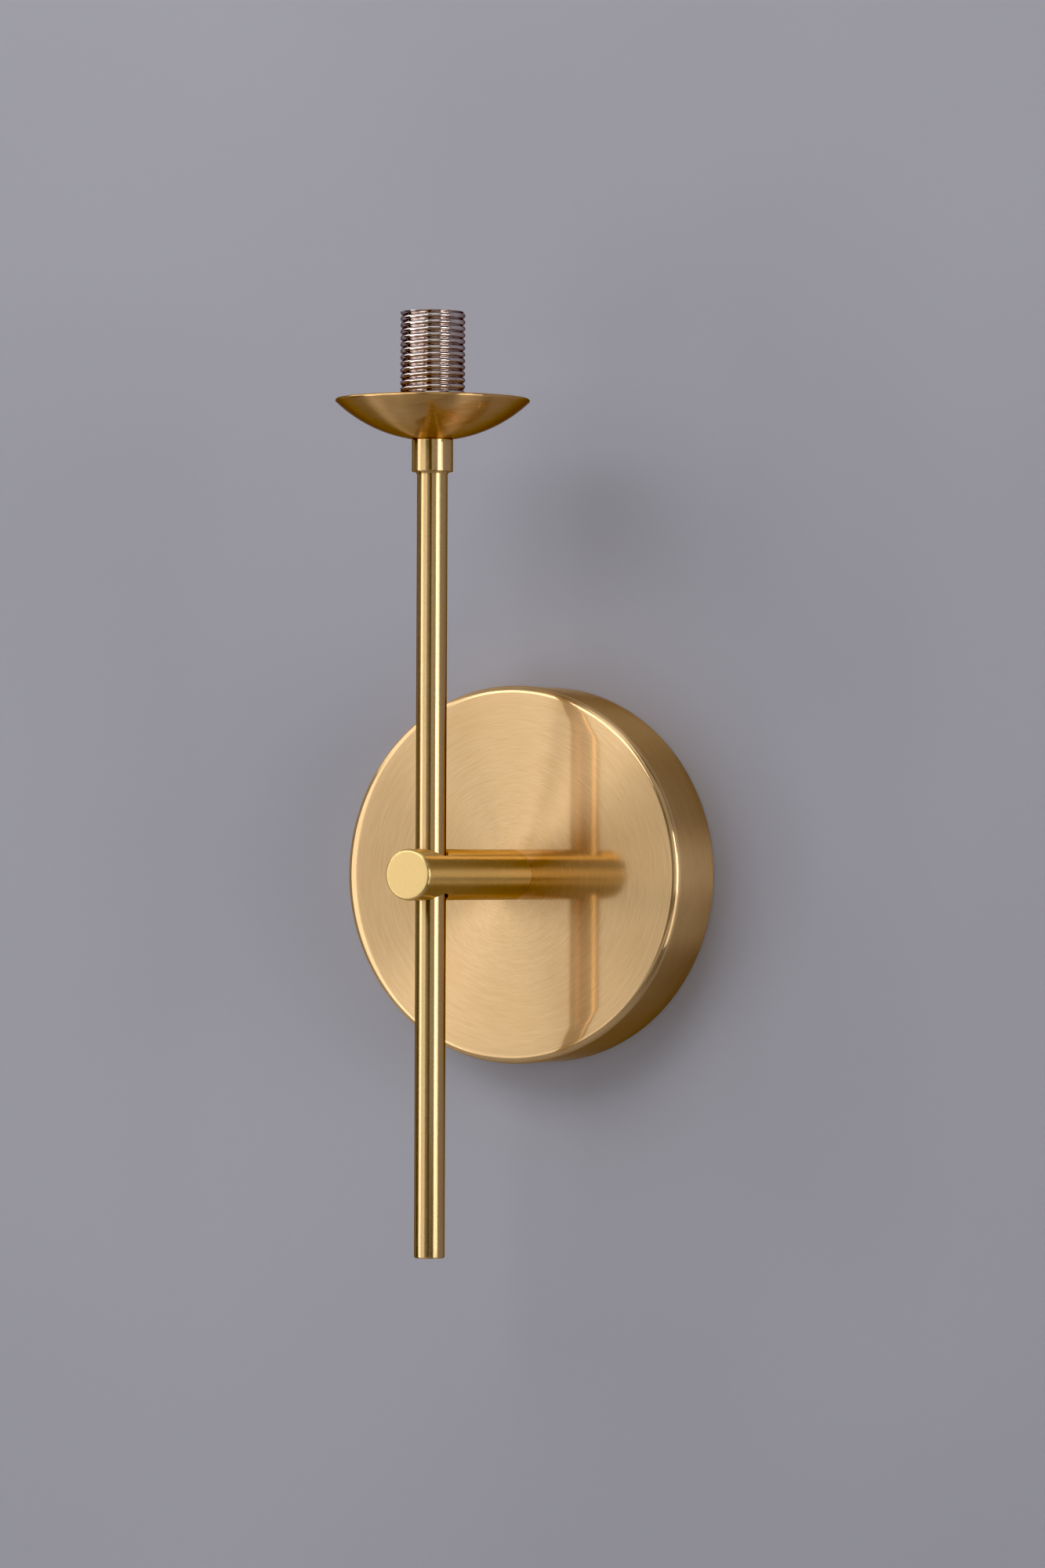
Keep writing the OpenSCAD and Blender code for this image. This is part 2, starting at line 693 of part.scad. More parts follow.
// Two spring clips, each with a crimp for its lead and two leaves that pinch a lamp pin
module contact_springs() {
    leaf_h = ceramic_top - recess_depth - well_floor - 1;
    bend_h = leaf_h * 0.45;
    pinch_h = leaf_h * 0.75;
    pinch_x = 0.5;                                  // half the gap where the leaves meet the pin
    edge_x = 1.6;                                   // half the clip's width
    color("darkgoldenrod") for (side = [-1, 1])
        on_stem(well_floor) translate([side * lamp_pin_spacing / 2, 0, 0]) difference() {
            translate([0, leaf_w / 2, 0]) rotate([90, 0, 0]) linear_extrude(leaf_w) {
                translate([-edge_x, 0]) square([2 * edge_x, leaf_t]);
                for (flip = [0, 1]) mirror([flip, 0]) polygon([
                    [edge_x - leaf_t, 0], [edge_x, 0], [edge_x, bend_h], [pinch_x + leaf_t, pinch_h],
                    [edge_x, leaf_h], [edge_x - leaf_t, leaf_h], [pinch_x, pinch_h], [edge_x - leaf_t, bend_h]
                ]);
            }
            // hole that the lead is crimped in
            translate([0, 0, -cut]) cylinder(d = wire_d, h = leaf_t + 2 * cut);
        }
}

module holder_screws() {
    color("silver") for (side = [-1, 1])
        on_stem(ceramic_top - holder_head_seat) translate([0, side * holder_screw_y, 0])
            slotted_screw(holder_screw_d, ceramic_h - holder_head_seat + bridge_t + 1,
                          holder_head_d, holder_head_h, 0.7);
}

// ---------- leads ----------

// The run shared by both lamp leads: along the arm, up the stem and out to the contact on one side
function lead_run(side) = concat(
    [[side * lead_x, -30, 0], [side * lead_x, -stem_y + turn_r, 0]],
    [for (a = [15:15:75]) [side * lead_x, -stem_y + turn_r * (1 - sin(a)), turn_r * (1 - cos(a))]],
    [
        [side * lead_x, -stem_y, turn_r], [side * lead_x, -stem_y, stem_top],
        [side * lead_x, -stem_y, cup_nipple_top], [side * 1.4, -stem_y, cup_nipple_top + 1],
        [side * 2.6, -stem_y, cup_nipple_top + 3], [side * 3.9, -stem_y, ceramic_low - 2],
        [side * 4.5, -stem_y, ceramic_low], [side * 4.5, -stem_y, ceramic_low + 2.5]
    ]
);

module live_wire() {
    color([0.4, 0.22, 0.12]) swept_wire(concat(live_start, lead_run(-1)), wire_d);
}

module neutral_wire() {
    color([0.1, 0.25, 0.6]) swept_wire(concat(neutral_start, lead_run(1)), wire_d);
}

module earth_wire() {
    color([0.35, 0.6, 0.15]) swept_wire(earth_route, wire_d);
}

wall_bracket();
cable_grommet();
earth_screw();
earth_cup_washer();
terminal_block();
terminal_inserts();
terminal_screws();
block_screws();
canopy();
canopy_screws();
arm();
arm_nipple();
backing_washer();
earth_tag();
toothed_washer();
nipple_nut();
cable_bush();
cross_nipple();
upper_stem();
lower_stem();
stem_plug();
collar();
cup_nipple();
cup();
seat_washer();
threaded_sleeve();
holder_bridge();
holder_nut();
top_bush();
ceramic_holder();
contact_springs();
holder_screws();
live_wire();
neutral_wire();
earth_wire();
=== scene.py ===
"""Brushed-brass electric wall light: looks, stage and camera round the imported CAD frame. Metres, +Z up."""
import math

import bmesh
import bpy
from mathutils import Matrix, Vector


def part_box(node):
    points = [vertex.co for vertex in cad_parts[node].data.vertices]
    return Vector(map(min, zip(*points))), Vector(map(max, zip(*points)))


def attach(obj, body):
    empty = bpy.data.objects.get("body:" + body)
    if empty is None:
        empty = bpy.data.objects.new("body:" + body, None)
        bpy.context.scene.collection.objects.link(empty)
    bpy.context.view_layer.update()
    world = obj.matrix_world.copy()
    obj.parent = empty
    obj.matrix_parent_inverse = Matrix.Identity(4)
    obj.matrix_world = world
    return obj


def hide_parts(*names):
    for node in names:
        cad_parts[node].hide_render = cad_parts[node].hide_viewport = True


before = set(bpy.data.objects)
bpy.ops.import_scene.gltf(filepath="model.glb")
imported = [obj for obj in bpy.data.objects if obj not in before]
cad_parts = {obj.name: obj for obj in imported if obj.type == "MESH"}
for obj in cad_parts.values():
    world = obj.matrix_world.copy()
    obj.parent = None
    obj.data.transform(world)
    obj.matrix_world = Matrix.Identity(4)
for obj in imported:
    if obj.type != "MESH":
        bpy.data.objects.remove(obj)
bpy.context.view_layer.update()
MM = 0.001

# ---------- places and sizes, from the frame ----------

canopy_low, canopy_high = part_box("canopy")
CANOPY_R = canopy_high.z
CANOPY_DEPTH = -canopy_low.y
CANOPY_SHEET = 1.2 * MM
CANOPY_EDGE_R = 2.4 * MM
CROWN_R = 48 * MM
CROWN_ANGLE = math.radians(6)

arm_low, arm_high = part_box("arm")
ARM_R = arm_high.z
ARM_END = -arm_low.y
ARM_EDGE_R = 1.0 * MM
ARM_BORE_R = 4.0 * MM
ARM_BORE_END = 77.6 * MM
ARM_THREAD_R = 5.0 * MM
ARM_THREAD_L = 12 * MM

upper_low, upper_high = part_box("upper_stem")
lower_low, lower_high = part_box("lower_stem")
STEM_R = (upper_high.x - upper_low.x) / 2
STEM_BORE_R = 4.0 * MM
STEM_Y = (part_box("stem_plug")[0].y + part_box("stem_plug")[1].y) / 2
SEAT_R = STEM_R + 0.65 * MM
SLIP = 0.02 * MM
SEAT_Z = upper_low.z

collar_low, collar_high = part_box("collar")
cup_low, cup_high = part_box("cup")
CUP_R = cup_high.x
CUP_CURVE_R = 43.7 * MM
CUP_SHEET = 1.1 * MM
CUP_HOLE_R = 4.1 * MM
COLLAR_R = collar_high.x
COLLAR_NECK = 0.6 * MM
COLLAR_SOCKET = 3 * MM

sleeve_low, sleeve_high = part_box("threaded_sleeve")
SLEEVE_R = sleeve_high.x
SLEEVE_THREAD = 0.8 * MM
SLEEVE_PITCH = 2.0 * MM
SLEEVE_BORE_R = 8.65 * MM
SLEEVE_FLOOR = 1.0 * MM
SLEEVE_PLAIN_H = 2 * MM

M10_R, M10_BORE_R = 5 * MM, 3.8 * MM
M8_R, M8_BORE_R = 4 * MM, 3 * MM
FINE_PITCH = 1.0 * MM
FINE_DEPTH = 0.55 * MM

LATHE_SIDES = 256


# ---------- mesh helpers ----------

def arc(cx, cy, r, start, end, steps):
    """Points on an arc; angles in degrees."""
    angles = [math.radians(start + (end - start) * i / steps) for i in range(steps + 1)]
    return [(cx + r * math.cos(a), cy + r * math.sin(a)) for a in angles]


def refine(profile, step):
    """Splits long straight stretches, so that shading bends only close to the rounded edges."""
    out = []
    for (r0, h0), (r1, h1) in zip(profile, profile[1:] + profile[:1]):
        count = max(1, math.ceil(math.hypot(r1 - r0, h1 - h0) / step))
        out += [(r0 + (r1 - r0) * i / count, h0 + (h1 - h0) * i / count) for i in range(count)]
    return out


def new_piece(name, mesh, material, smooth_angle=35):
    """Links a mesh as a smooth-shaded object that keeps its sharp edges."""
    piece = bpy.data.objects.new(name, mesh)
    bpy.context.scene.collection.objects.link(piece)
    mesh.materials.clear()
    mesh.materials.append(material)
    for polygon in mesh.polygons:
        polygon.use_smooth = True
    mesh.set_sharp_from_angle(angle=math.radians(smooth_angle))
    return piece


def to_place(axis, at):
    """Local +Z onto the given row axis, then to a point."""
    turn = Matrix.Rotation(math.radians(90), 4, "X") if axis == "-Y" else Matrix.Identity(4)
    return Matrix.Translation(at) @ turn


def circle_verts(bm, r, z, sides):
    """New vertices evenly round local Z."""
    angles = [2 * math.pi * k / sides for k in range(sides)]
    return [bm.verts.new((r * math.cos(a), r * math.sin(a), z)) for a in angles]


def lathe_mesh(name, profile, place, sides=LATHE_SIDES, step=1.0 * MM):
    """Turns a closed half section (radius, height) round local Z."""
    profile = refine(profile, step)
    bm = bmesh.new()
    rings = []
    for r, h in profile:
        if r < 1e-7:
            rings.append([bm.verts.new((0, 0, h))])
        else:
            rings.append(circle_verts(bm, r, h, sides))
    for one, two in zip(rings, rings[1:] + rings[:1]):
        if len(one) == 1 and len(two) == 1:
            continue
        for k in range(sides):
            corners = [one[k % len(one)], one[(k + 1) % len(one)]]
            corners += [two[(k + 1) % len(two)], two[k % len(two)]]
            corners = list(dict.fromkeys(corners))
            if len(corners) > 2:
                bm.faces.new(corners)
    bmesh.ops.recalc_face_normals(bm, faces=bm.faces)
    bm.transform(place)
    mesh = bpy.data.meshes.new(name)
    bm.to_mesh(mesh)
    bm.free()
    return mesh


def cut_mesh(mesh, cutters):
    """The mesh with the cutter meshes taken away."""
    body = bpy.data.objects.new("cut_body", mesh)
    bpy.context.scene.collection.objects.link(body)
    helpers = []
    for cutter in cutters:
        helper = bpy.data.objects.new("cutter", cutter)
        bpy.context.scene.collection.objects.link(helper)
        modifier = body.modifiers.new("cut", "BOOLEAN")
        modifier.operation = "DIFFERENCE"
        modifier.solver = "EXACT"
        modifier.object = helper
        helpers.append(helper)
    evaluated = body.evaluated_get(bpy.context.evaluated_depsgraph_get())
    result = bpy.data.meshes.new_from_object(evaluated)
    for helper in helpers + [body]:
        bpy.data.objects.remove(helper)
    return result


def cylinder_mesh(r, length, place, sides=96):
    """Plain solid cylinder up local Z."""
    return lathe_mesh("cylinder", [(0, 0), (r, 0), (r, length), (0, length)], place, sides, 1)


def thread_mesh(name, major_r, depth, pitch, bore_r, length, place, lead_in, sides=120, rows=12, crest=0.8):
    """Tube with a right-hand helical thread outside; lead_in is the plain run at its lower end."""
    count = max(2, round(length / pitch * rows))
    bm = bmesh.new()
    outer = []
    for i in range(count + 1):
        z = length * i / count
        fade = min(1.0, max(0.0, (z - lead_in) / pitch))
        ring = []
        for k in range(sides):
            angle = 2 * math.pi * k / sides
            wave = abs(math.sin(math.pi * (z / pitch - k / sides)))
            r = major_r - depth + depth * fade * wave ** crest
            ring.append(bm.verts.new((r * math.cos(angle), r * math.sin(angle), z)))
        outer.append(ring)
    inner = [circle_verts(bm, bore_r, z, sides) for z in (length, 0)]
    rings = outer + inner
    for one, two in zip(rings, rings[1:] + rings[:1]):
        for k in range(sides):
            bm.faces.new([one[k], one[(k + 1) % sides], two[(k + 1) % sides], two[k]])
    bmesh.ops.recalc_face_normals(bm, faces=bm.faces)
    bm.transform(place)
    mesh = bpy.data.meshes.new(name)
    bm.to_mesh(mesh)
    bm.free()
    return mesh


# ---------- material helpers ----------

class Nodes:
    """Short way to wire a node tree."""

    def __init__(self, name):
        self.material = bpy.data.materials.new(name)
        self.material.use_nodes = True
        self.tree = self.material.node_tree
        self.tree.nodes.clear()
        self.out = self.add("ShaderNodeOutputMaterial")
        self.shader = self.add("ShaderNodeBsdfPrincipled")
        self.join(self.shader.outputs["BSDF"], self.out.inputs["Surface"])

    def add(self, kind, **settings):
        node = self.tree.nodes.new(kind)
        for key, value in settings.items():
            setattr(node, key, value)
        return node

    def join(self, source, target):
        self.tree.links.new(source, target)

    def put(self, value, target):
        if hasattr(value, "is_linked"):
            self.join(value, target)
        else:
            target.default_value = value

    def math(self, operation, a, b=0.0, clamp=False):
        node = self.add("ShaderNodeMath", operation=operation, use_clamp=clamp)
        self.put(a, node.inputs[0])
        self.put(b, node.inputs[1])
        return node.outputs[0]

    def noise(self, vector, scale, detail=3.0, roughness=0.5):
        node = self.add("ShaderNodeTexNoise")
        self.join(vector, node.inputs["Vector"])
        node.inputs["Scale"].default_value = scale
        node.inputs["Detail"].default_value = detail
        node.inputs["Roughness"].default_value = roughness
        return node.outputs["Fac"]

    def map(self, value, low, high, to_low, to_high):
        node = self.add("ShaderNodeMapRange", clamp=True)
        self.join(value, node.inputs["Value"])
        for key, number in zip(("From Min", "From Max", "To Min", "To Max"), (low, high, to_low, to_high)):
            node.inputs[key].default_value = number
        return node.outputs["Result"]

    def mix(self, factor, a, b):
        node = self.add("ShaderNodeMix", data_type="RGBA")
        self.put(factor, node.inputs["Factor"])
        self.put(a, node.inputs[6])
        self.put(b, node.inputs[7])
        return node.outputs[2]

    def position(self):
        return self.add("ShaderNodeTexCoord").outputs["Object"]

    def bump(self, height, strength, distance):
        node = self.add("ShaderNodeBump")
        self.join(height, node.inputs["Height"])
        node.inputs["Strength"].default_value = strength
        node.inputs["Distance"].default_value = distance
        self.join(node.outputs["Normal"], self.shader.inputs["Normal"])
        return node

    def set(self, **values):
        for key, value in values.items():
            self.put(value, self.shader.inputs[key.replace("_", " ")])


def turned_coords(nodes, axis, centre):
    """Coordinates for brushing round an axis: across the brushing, then cosine and sine of the turn."""
    shift = nodes.add("ShaderNodeVectorMath", operation="SUBTRACT")
    nodes.join(nodes.position(), shift.inputs[0])
    shift.inputs[1].default_value = centre
    split = nodes.add("ShaderNodeSeparateXYZ")
    nodes.join(shift.outputs[0], split.inputs[0])
    first, second, along = ("X", "Z", "Y") if axis == "Y" else ("X", "Y", "Z")
    a, b, h = split.outputs[first], split.outputs[second], split.outputs[along]
    squares = nodes.math("ADD", nodes.math("MULTIPLY", a, a), nodes.math("MULTIPLY", b, b))
    radius = nodes.math("MAXIMUM", nodes.math("SQRT", squares), 0.0001)
    across = nodes.math("ADD", radius, h)
    return across, nodes.math("DIVIDE", a, radius), nodes.math("DIVIDE", b, radius)


def brush_noise(nodes, coords, fineness, length, detail=4.0):
    """Streaks that run round the axis: fineness is per metre across, length is per turn."""
    across, cosine, sine = coords
    vector = nodes.add("ShaderNodeCombineXYZ")
    nodes.join(nodes.math("MULTIPLY", across, fineness), vector.inputs[0])
    nodes.join(nodes.math("MULTIPLY", cosine, length), vector.inputs[1])
    nodes.join(nodes.math("MULTIPLY", sine, length), vector.inputs[2])
    return nodes.noise(vector.outputs[0], 1.0, detail, 0.62)


BRASS_EDGE_TINT = (0.40, 0.28, 0.16, 1)


def shade(colour, r, g, b):
    """Colour with each channel scaled, for a shader socket."""
    return tuple(min(1.0, c * f) for c, f in zip(colour, (r, g, b))) + (1,)


def brushed_brass(name, axis, centre, colour, sharp_share, haze_roughness=0.38, sharp_roughness=0.08):
    """Brass brushed round its axis: a sharp mirror image under a haze stretched across the brushing."""
    nodes = Nodes(name)
    coords = turned_coords(nodes, axis, centre)
    fine = brush_noise(nodes, coords, 5200, 5.0)
    coarse = brush_noise(nodes, coords, 1300, 3.0, detail=2.0)
    # a second set of strokes, off centre on flat faces, crosses the first at a small angle
    beside = (centre[0] + 9 * MM, centre[1], centre[2] - 7 * MM) if axis == "Y" else centre
    crossing = brush_noise(nodes, turned_coords(nodes, axis, beside), 3600, 7.0)
    cloud = nodes.noise(nodes.position(), 38, 3.0)
    strokes = nodes.math("ADD", nodes.math("MULTIPLY", fine, 0.5), nodes.math("MULTIPLY", crossing, 0.3))
    streak = nodes.math("ADD", strokes, nodes.math("MULTIPLY", coarse, 0.2))
    dark, light = shade(colour, 0.88, 0.84, 0.76), shade(colour, 1.07, 1.07, 1.10)
    tone = nodes.mix(nodes.map(streak, 0.4, 0.6, 0.0, 1.0), dark, light)
    worn = nodes.mix(nodes.map(cloud, 0.45, 0.75, 0.0, 0.35), tone, shade(colour, 0.92, 0.85, 0.72))
    tangent = nodes.add("ShaderNodeTangent", direction_type="RADIAL", axis=axis)
    bump = nodes.bump(streak, 0.1, 0.005 * MM)
    haze = nodes.shader
    sharp = nodes.add("ShaderNodeBsdfPrincipled")
    for shader, roughness, anisotropic in ((haze, haze_roughness, 1.0), (sharp, sharp_roughness, 0.4)):
        nodes.join(worn, shader.inputs["Base Color"])
        grain = nodes.map(streak, 0.3, 0.7, roughness * 0.85, roughness * 1.15)
        nodes.join(grain, shader.inputs["Roughness"])
        nodes.join(tangent.outputs[0], shader.inputs["Tangent"])
        nodes.join(bump.outputs["Normal"], shader.inputs["Normal"])
        shader.inputs["Metallic"].default_value = 1.0
        shader.inputs["Anisotropic"].default_value = anisotropic
        shader.inputs["Anisotropic Rotation"].default_value = 0.25
        shader.inputs["Specular Tint"].default_value = BRASS_EDGE_TINT
    finish = nodes.add("ShaderNodeMixShader")
    finish.inputs["Fac"].default_value = sharp_share
    nodes.join(haze.outputs["BSDF"], finish.inputs[1])
    nodes.join(sharp.outputs["BSDF"], finish.inputs[2])
    nodes.join(finish.outputs[0], nodes.out.inputs["Surface"])
    return nodes.material


def satin_brass(name, colour):
    """Brass with a fine, even grain and no direction."""
    nodes = Nodes(name)
    grain = nodes.noise(nodes.position(), 4200, 3.0)
    tone = nodes.mix(nodes.map(grain, 0.35, 0.65, 0.0, 1.0), shade(colour, 0.9, 0.9, 0.9), colour + (1,))
    nodes.set(Base_Color=tone, Metallic=1.0, Roughness=nodes.map(grain, 0.3, 0.7, 0.32, 0.42),
              Specular_Tint=BRASS_EDGE_TINT)
    nodes.bump(grain, 0.1, 0.01 * MM)
    return nodes.material


def nickel_plate(name):
    """Smooth bright plating, slightly warm, with faint clouds of wear."""
    nodes = Nodes(name)
    position = nodes.position()
    cloud = nodes.noise(position, 260, 4.0)
    tone = nodes.mix(nodes.map(cloud, 0.35, 0.7, 0.0, 1.0), (0.72, 0.64, 0.61, 1), (0.54, 0.45, 0.42, 1))
    nodes.set(Base_Color=tone, Metallic=1.0, Roughness=nodes.map(cloud, 0.3, 0.7, 0.07, 0.14),
              Specular_Tint=(0.34, 0.26, 0.26, 1))
    nodes.bump(nodes.noise(position, 1500, 2.0), 0.08, 0.02 * MM)
    return nodes.material


def plated_steel(name, colour=(0.62, 0.63, 0.64), roughness=0.32):
    """Small metal hardware: a clouded plating over a fine grain."""
    nodes = Nodes(name)
    position = nodes.position()
    cloud = nodes.noise(position, 160, 5.0)
    grain = nodes.noise(position, 2400, 2.0)
    dark = tuple(c * 0.78 for c in colour) + (1,)
    tone = nodes.mix(nodes.map(cloud, 0.35, 0.7, 0.0, 1.0), colour + (1,), dark)
    nodes.set(Base_Color=tone, Metallic=1.0,
              Roughness=nodes.map(cloud, 0.3, 0.7, roughness - 0.08, roughness + 0.1))
    nodes.bump(grain, 0.15, 0.03 * MM)
    return nodes.material


def moulded(name, colour, roughness=0.42, scale=900, strength=0.12, subsurface=0.0):
    """Plastic, rubber, ceramic or wire insulation: a fine skin and slight colour variation."""
    nodes = Nodes(name)
    position = nodes.position()
    cloud = nodes.noise(position, 120, 4.0)
    skin = nodes.noise(position, scale, 3.0)
    dark = tuple(c * 0.86 for c in colour) + (1,)
    tone = nodes.mix(nodes.map(cloud, 0.35, 0.7, 0.0, 1.0), colour + (1,), dark)
    nodes.set(Base_Color=tone, Roughness=nodes.map(skin, 0.3, 0.7, roughness - 0.06, roughness + 0.08),
              Subsurface_Weight=subsurface)
    if subsurface:
        nodes.shader.inputs["Subsurface Radius"].default_value = (0.001, 0.0008, 0.0006)
    nodes.bump(skin, strength, 0.05 * MM)
    return nodes.material


def striped_insulation(name):
    """Green insulation with a yellow stripe each side, along the lead."""
    nodes = Nodes(name)
    position = nodes.position()
    split = nodes.add("ShaderNodeSeparateXYZ")
    nodes.join(nodes.add("ShaderNodeUVMap").outputs["UV"], split.inputs[0])
    wave = nodes.math("SINE", nodes.math("MULTIPLY", split.outputs["X"], 4 * math.pi))
    tone = nodes.mix(nodes.map(wave, 0.1, 0.2, 0.0, 1.0), (0.08, 0.30, 0.05, 1), (0.80, 0.62, 0.04, 1))
    skin = nodes.noise(position, 900, 3.0)
    nodes.set(Base_Color=tone, Roughness=nodes.map(skin, 0.3, 0.7, 0.36, 0.5))
    nodes.bump(skin, 0.1, 0.05 * MM)
    return nodes.material


# ---------- materials ----------

AXIS_CENTRE = (0, 0, 0)
STEM_CENTRE = (0, STEM_Y, 0)
PEACH_BRASS = (0.80, 0.56, 0.31)
STEM_BRASS = (0.80, 0.57, 0.30)
ARM_BRASS = (0.86, 0.62, 0.28)
CUP_BRASS = (0.78, 0.50, 0.24)
brass_canopy = brushed_brass("brass_canopy", "Y", AXIS_CENTRE, PEACH_BRASS, 0.5)
brass_arm = brushed_brass("brass_arm", "Y", AXIS_CENTRE, ARM_BRASS, 0.45, 0.42, 0.1)
brass_end = satin_brass("brass_end", ARM_BRASS)
brass_stem = brushed_brass("brass_stem", "Z", STEM_CENTRE, STEM_BRASS, 0.55, 0.4, 0.12)
brass_cup = brushed_brass("brass_cup", "Z", STEM_CENTRE, CUP_BRASS, 0.45, 0.4, 0.1)
nickel = nickel_plate("nickel")
zinc = plated_steel("zinc")
thread_zinc = plated_steel("thread_zinc", (0.60, 0.58, 0.53), 0.28)
tin = plated_steel("tin", (0.66, 0.64, 0.61), 0.38)
screw_brass = plated_steel("screw_brass", (0.78, 0.60, 0.26), 0.25)
bronze = plated_steel("bronze", (0.66, 0.42, 0.22), 0.3)
rubber = moulded("rubber", (0.02, 0.02, 0.02), 0.6)
polyamide = moulded("polyamide", (0.80, 0.77, 0.66), 0.45, subsurface=0.15)
white_plastic = moulded("white_plastic", (0.82, 0.82, 0.80), 0.35, subsurface=0.1)
steatite = moulded("steatite", (0.84, 0.81, 0.74), 0.5, 1800, 0.3)
brown_wire = moulded("brown_wire", (0.16, 0.06, 0.025), 0.4)
blue_wire = moulded("blue_wire", (0.02, 0.10, 0.42), 0.4)
earth_wire_skin = striped_insulation("earth_wire_skin")

KEPT_NODES = {
    "wall_bracket": zinc, "cable_grommet": rubber, "earth_screw": screw_brass, "earth_cup_washer": zinc,
    "terminal_block": polyamide, "terminal_inserts": screw_brass, "terminal_screws": zinc,
    "block_screws": zinc, "canopy_screws": zinc, "backing_washer": zinc, "earth_tag": tin,
    "toothed_washer": zinc, "nipple_nut": zinc, "cable_bush": white_plastic, "cross_nipple": thread_zinc,
    "stem_plug": brass_stem, "seat_washer": zinc, "holder_bridge": zinc, "holder_nut": zinc,
    "top_bush": white_plastic, "ceramic_holder": steatite, "contact_springs": bronze, "holder_screws": zinc,
}
for node, material in KEPT_NODES.items():
    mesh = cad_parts[node].data
    mesh.materials.clear()
    mesh.materials.append(material)


def stand_for(piece, node):
    """A detailed piece that takes a CAD node's place."""
    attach(piece, "root")
    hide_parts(node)


# ---------- pieces ----------

def canopy_outline(r, h, edge, crown):
    """Half section of a shallow pan: the face turns down gently before its edge radius."""
    angle = math.degrees(CROWN_ANGLE)
    side_arc = arc(r - edge, h - crown + (crown - edge) * math.cos(CROWN_ANGLE), edge, 0, 90 - angle, 14)
    face_arc = arc(r - edge - (crown - edge) * math.sin(CROWN_ANGLE), h - crown, crown, 90 - angle, 90, 10)
    return side_arc + face_arc[1:]


def make_canopy():
    """Spun pan with a hole for the nipple in its face and one for each set screw in its side."""
    rim = 0.25 * MM
    hole_r = ARM_THREAD_R + 0.1 * MM
    screw_hole_r = 2.2 * MM
    screw_y = -10 * MM
    outer = canopy_outline(CANOPY_R, CANOPY_DEPTH, CANOPY_EDGE_R, CROWN_R)
    inner = canopy_outline(CANOPY_R - CANOPY_SHEET, CANOPY_DEPTH - CANOPY_SHEET,
                           CANOPY_EDGE_R - CANOPY_SHEET, CROWN_R - CANOPY_SHEET)
    profile = [(CANOPY_R - rim, 0), (CANOPY_R, rim)] + outer
    profile += [(hole_r, CANOPY_DEPTH), (hole_r, CANOPY_DEPTH - CANOPY_SHEET)]
    profile += inner[::-1] + [(CANOPY_R - CANOPY_SHEET, 0)]
    mesh = lathe_mesh("canopy_shell", profile, to_place("-Y", (0, 0, 0)))
    hole = cylinder_mesh(screw_hole_r, 3 * CANOPY_R, to_place("Z", (0, screw_y, -1.5 * CANOPY_R)))
    return new_piece("canopy_shell", cut_mesh(mesh, [hole]), brass_canopy)


def make_arm():
    """Bar bored and tapped from the canopy's end, with a seat above and below for the stem's tubes."""
    end = ARM_END
    back = CANOPY_DEPTH
    profile = [(ARM_R - 0.15 * MM, back), (ARM_R, back + 0.15 * MM)]
    profile += arc(ARM_R - ARM_EDGE_R, end - ARM_EDGE_R, ARM_EDGE_R, 0, 90, 12)
    profile += [(0, end), (0, ARM_BORE_END), (ARM_BORE_R, ARM_BORE_END), (ARM_BORE_R, back + ARM_THREAD_L),
                (ARM_THREAD_R, back + ARM_THREAD_L), (ARM_THREAD_R, back)]
    mesh = lathe_mesh("arm_bar", profile, to_place("-Y", (0, 0, 0)), 192)
    cutters = [cylinder_mesh(ARM_BORE_R, 4 * ARM_R, to_place("Z", (0, STEM_Y, -2 * ARM_R)))]
    for low in (SEAT_Z, -SEAT_Z - ARM_R):
        cutters.append(cylinder_mesh(SEAT_R, ARM_R, to_place("Z", (0, STEM_Y, low)), 128))
    arm = new_piece("arm_bar", cut_mesh(mesh, cutters), brass_arm)
    arm.data.materials.append(brass_end)
    for polygon in arm.data.polygons:
        if polygon.center.y < -end + 0.1 * MM:
            polygon.material_index = 1
    return arm


def make_stem(name, low, high, chamfer_low, chamfer_high):
    """Tube with its two outer edges rounded."""
    profile = [(STEM_BORE_R, low)]
    profile += arc(STEM_R - chamfer_low, low + chamfer_low, chamfer_low, -90, 0, 6)
    profile += arc(STEM_R - chamfer_high, high - chamfer_high, chamfer_high, 0, 90, 6)
    profile += [(STEM_BORE_R, high)]
    mesh = lathe_mesh(name, profile, to_place("Z", (0, STEM_Y, 0)), 160, 2 * MM)
    return new_piece(name, mesh, brass_stem)


def make_collar():
    """Turned collar: a neck at the stem, rounded edges, and the nipple's bore above the stem's socket."""
    low, high = collar_low.z + COLLAR_NECK, collar_high.z
    low_edge, high_edge = 0.3 * MM, 0.4 * MM
    socket_top = low + COLLAR_SOCKET + SLIP
    profile = [(STEM_R + SLIP, low - COLLAR_NECK), (STEM_R + 0.15 * MM, low - COLLAR_NECK)]
    profile += [(STEM_R + 0.25 * MM, low - COLLAR_NECK * 0.7), (STEM_R + 0.5 * MM, low)]
    profile += arc(COLLAR_R - low_edge, low + low_edge, low_edge, -90, 0, 5)
    profile += arc(COLLAR_R - high_edge, high - high_edge, high_edge, 0, 90, 5)
    profile += [(M8_R + SLIP, high), (M8_R + SLIP, socket_top), (STEM_R + SLIP, socket_top)]
    mesh = lathe_mesh("stem_collar", profile, to_place("Z", (0, STEM_Y, 0)), 160)
    return new_piece("stem_collar", mesh, brass_stem)


